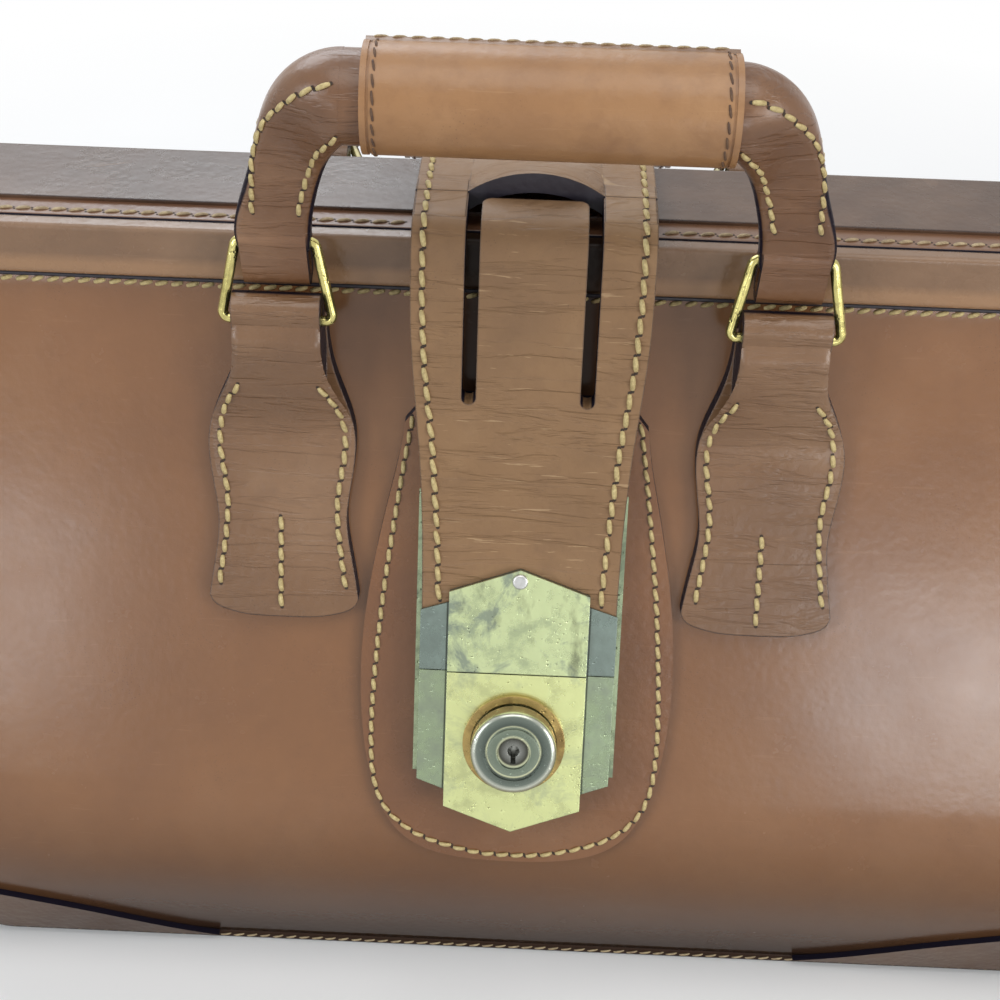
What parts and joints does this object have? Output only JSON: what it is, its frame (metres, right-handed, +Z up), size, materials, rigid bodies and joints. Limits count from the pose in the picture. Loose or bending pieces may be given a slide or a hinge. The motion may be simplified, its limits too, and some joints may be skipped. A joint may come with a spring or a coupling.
{
  "type": "briefcase",
  "caption": "Frame-top briefcase of brown bridle leather with stitched chapes, wire rings and swing handles, a wide over-strap with a hasp, and a brass push lock.",
  "frame": {"origin": "middle of the underside, on the face the case stands on", "axes": "+X along the length to the right as seen from the front, -Y to the front with the lock, +Z up"},
  "size_m": [0.4052, 0.2217, 0.3169],
  "materials": {
    "bridle_leather": "glossy waxed hide",
    "dark_leather": "dark waxed hide with black edges",
    "strap_leather": "dry creased hide",
    "grip_leather": "worn tan hide",
    "brass": "pale worn brass",
    "bronze": "dull tarnished brass",
    "steel": "plain steel",
    "lining_cloth": "drill lining",
    "board": "millboard"
  },
  "bodies": {
    "case": {"front_lower_wall": "bridle_leather", "rear_panel": "bridle_leather", "left_end_gusset": "bridle_leather", "right_end_gusset": "bridle_leather", "bottom_welt": "bridle_leather", "bottom_panel": "bridle_leather", "front_left_corner_patch": "bridle_leather", "front_right_corner_patch": "bridle_leather", "rear_left_corner_patch": "bridle_leather", "rear_right_corner_patch": "bridle_leather", "top_panel": "bridle_leather", "top_flange": "bridle_leather", "rear_left_chape": "bridle_leather", "rear_right_chape": "bridle_leather", "rear_rail": "dark_leather", "strap_back": "strap_leather", "rear_frame_bar": "steel", "frame_end_pins": "steel", "case_lining": "lining_cloth", "base_board": "board"},
    "front_half": {"front_panel": "bridle_leather", "front_rail": "dark_leather", "front_frame_bar": "steel", "front_lining": "lining_cloth", "lock_patch": "bridle_leather", "lock_backplate": "brass", "lock_case": "brass", "lock_collar": "brass", "front_left_chape": "bridle_leather", "front_right_chape": "bridle_leather"},
    "strap": {"strap_front": "strap_leather", "hasp_plate": "brass", "hasp_rivet": "steel", "hasp_staple": "brass"},
    "knob": {"lock_knob": "bronze"},
    "key_plug_body": {"key_plug": "bronze"},
    "front_left_ring_body": {"front_left_ring": "brass"},
    "front_right_ring_body": {"front_right_ring": "brass"},
    "front_handle_body": {"front_handle": "dark_leather", "front_grip_sleeve": "grip_leather"},
    "rear_left_ring_body": {"rear_left_ring": "brass"},
    "rear_right_ring_body": {"rear_right_ring": "brass"},
    "rear_handle_body": {"rear_handle": "dark_leather", "rear_grip_sleeve": "grip_leather"}
  },
  "joints": [
    {"name": "strap_lift", "type": "hinge", "parent": "case", "child": "strap", "pos_m": [0, -0.01745, 0.263], "axis": [-1, 0, 0], "range_deg": [0, 76]},
    {"name": "front_lean", "type": "hinge", "parent": "case", "child": "front_half", "pos_m": [0, -0.0879, 0.0478], "axis": [1, 0, 0], "range_deg": [0, 7.6]},
    {"name": "knob_push", "type": "slide", "parent": "front_half", "child": "knob", "axis": [0, 0.9283, -0.3719], "range_m": [0, 0.0025], "stiffness_N_per_m": 400},
    {"name": "key_turn", "type": "hinge", "parent": "knob", "child": "key_plug_body", "pos_m": [0, -0.09229, 0.11348], "axis": [0, 0.9283, -0.3719], "range_deg": [0, 90]},
    {"name": "front_left_ring_swing", "type": "hinge", "parent": "front_half", "child": "front_left_ring_body", "pos_m": [-0.0728, -0.038, 0.23], "axis": [-1, 0, 0], "range_deg": [-116, 2]},
    {"name": "front_right_ring_swing", "type": "hinge", "parent": "front_half", "child": "front_right_ring_body", "pos_m": [0.0728, -0.038, 0.23], "axis": [-1, 0, 0], "range_deg": [-116, 2]},
    {"name": "front_handle_swing", "type": "hinge", "parent": "front_left_ring_body", "child": "front_handle_body", "pos_m": [-0.0728, -0.03449, 0.25324], "axis": [1, 0, 0], "range_deg": [-52, 2]},
    {"name": "rear_left_ring_swing", "type": "hinge", "parent": "case", "child": "rear_left_ring_body", "pos_m": [-0.0728, 0.0375, 0.244], "axis": [1, 0, 0], "range_deg": [-22, 95]},
    {"name": "rear_right_ring_swing", "type": "hinge", "parent": "case", "child": "rear_right_ring_body", "pos_m": [0.0728, 0.0375, 0.244], "axis": [1, 0, 0], "range_deg": [-22, 95]},
    {"name": "rear_handle_swing", "type": "hinge", "parent": "rear_left_ring_body", "child": "rear_handle_body", "pos_m": [-0.0728, 0.06049, 0.23911], "axis": [-1, 0, 0], "range_deg": [-20, 28]}
  ],
  "couplings": [
    {"joint": "front_lean", "follows": "strap_lift", "ratio": 0.1},
    {"joint": "front_right_ring_swing", "follows": "front_left_ring_swing", "ratio": 1},
    {"joint": "rear_right_ring_swing", "follows": "rear_left_ring_swing", "ratio": 1}
  ]
}
